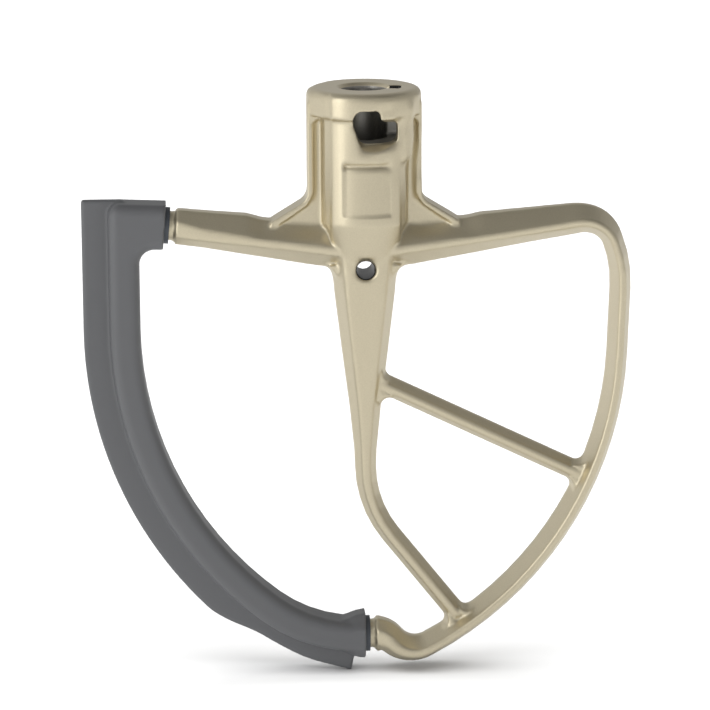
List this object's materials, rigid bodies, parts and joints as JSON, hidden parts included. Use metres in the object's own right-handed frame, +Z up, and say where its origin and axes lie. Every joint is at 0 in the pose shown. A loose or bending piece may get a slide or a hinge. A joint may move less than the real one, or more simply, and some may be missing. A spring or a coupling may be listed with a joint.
{
  "type": "mixer beater",
  "caption": "Flat beater for a stand mixer: a cast metal loop with a bayonet hub, a tapering spindle with slanted bars, and a soft scraping edge along one side",
  "frame": {"origin": "On the axis of the shaft bore, at the hub's top face, 1 mm above the start of the bore's wall", "axes": "+Z up the bore and out of its mouth; +X to the open metal loop, with the scraping edge at -X; -Y is the front, where the bayonet window opens"},
  "size_m": [0.1558, 0.0324, 0.1709],
  "materials": {
    "coated_casting": "satin champagne metallic powder coat",
    "carrier_plastic": "matte moulded plastic, bluish dark grey",
    "edge_rubber": "matte moulded elastomer, dark grey"
  },
  "bodies": {
    "root": {"beater_frame": "coated_casting", "edge_carrier": "carrier_plastic", "scraper_edge": "edge_rubber"}
  },
  "joints": []
}
